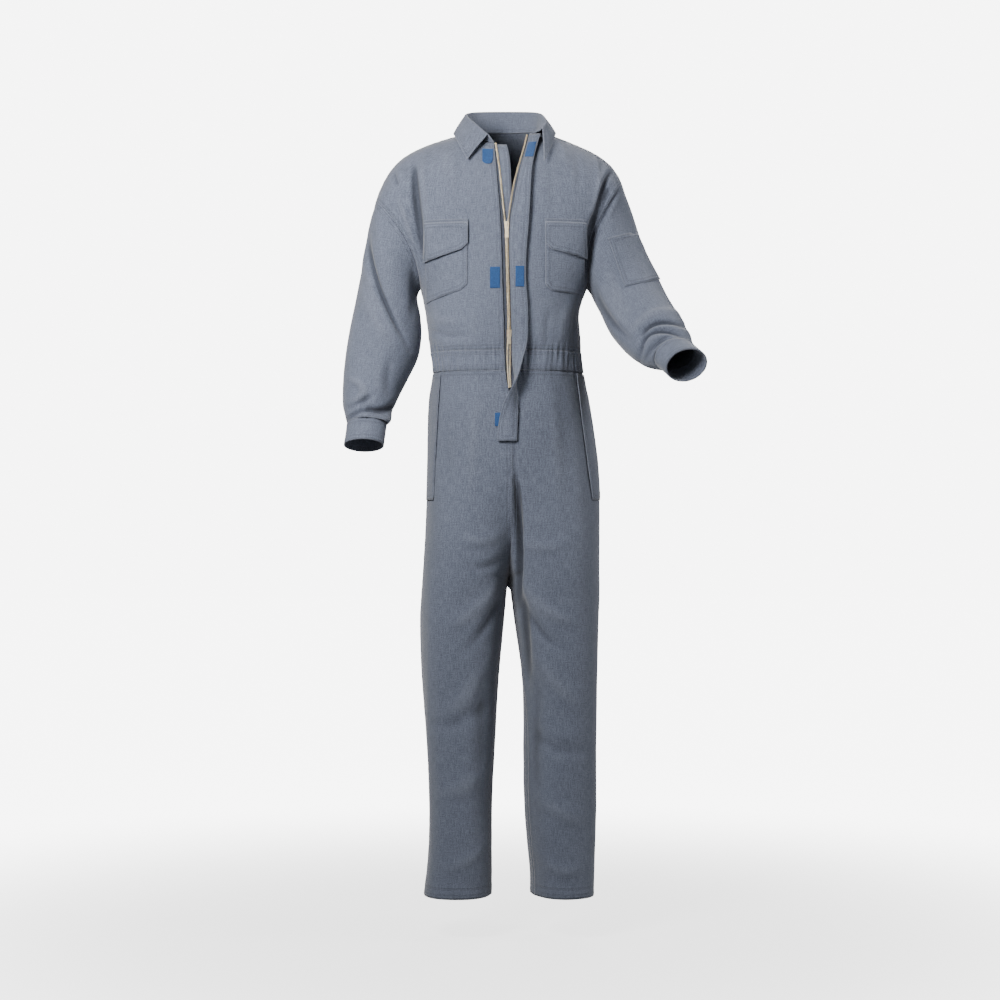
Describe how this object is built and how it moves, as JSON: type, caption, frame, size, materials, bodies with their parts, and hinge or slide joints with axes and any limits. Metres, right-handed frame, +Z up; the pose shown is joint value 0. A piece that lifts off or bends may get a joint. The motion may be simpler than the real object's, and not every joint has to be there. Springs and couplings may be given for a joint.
{
  "type": "boiler suit",
  "caption": "Worn boiler suit with folded collar, open storm flap over a parted zip, chest pockets with flaps, elastic waist and straight legs.",
  "frame": {"origin": "inside the neck, at the height where the wearer's shoulders carry the suit", "axes": "+X towards the wearer's left, -Y out of the front, +Z up"},
  "size_m": [0.7102, 0.3694, 1.5765],
  "materials": {
    "grey_twill": "matt blue-grey work twill",
    "zip_tape": "dark woven zip tape",
    "blue_touch_tape": "blue hook and loop tape",
    "brass": "pale polished brass"
  },
  "bodies": {
    "suit": {"front_right": "grey_twill", "front_left": "grey_twill", "back": "grey_twill", "waistband": "grey_twill", "sleeve_right": "grey_twill", "sleeve_left": "grey_twill", "cuff_right": "grey_twill", "cuff_left": "grey_twill", "leg_front_right": "grey_twill", "leg_front_left": "grey_twill", "leg_back_right": "grey_twill", "leg_back_left": "grey_twill", "collar": "grey_twill", "storm_flap": "grey_twill", "zip_guard": "grey_twill", "chest_pocket_right": "grey_twill", "chest_pocket_left": "grey_twill", "chest_flap_right": "grey_twill", "chest_flap_left": "grey_twill", "sleeve_pocket": "grey_twill", "pocket_mouth_right": "grey_twill", "pocket_mouth_left": "grey_twill", "zip_tape_right": "zip_tape", "zip_tape_left": "zip_tape", "touch_tape_top": "blue_touch_tape", "touch_tape_middle": "blue_touch_tape", "touch_tape_low": "blue_touch_tape", "flap_tape_top": "blue_touch_tape", "flap_tape_middle": "blue_touch_tape", "zip_teeth_right": "brass", "zip_teeth_left": "brass", "slider_top": "brass", "slider_bottom": "brass"},
    "top_tab": {"pull_top": "brass"},
    "bottom_tab": {"pull_bottom": "brass"}
  },
  "joints": [
    {"name": "top_tab_hinge", "type": "hinge", "parent": "suit", "child": "top_tab", "pos_m": [-0.00482, -0.13321, -0.18532], "axis": [-1, 0, 0], "range_deg": [0, 125]},
    {"name": "bottom_tab_hinge", "type": "hinge", "parent": "suit", "child": "bottom_tab", "pos_m": [0, -0.12561, -0.39529], "axis": [-1, 0, 0], "range_deg": [0, 125]}
  ]
}
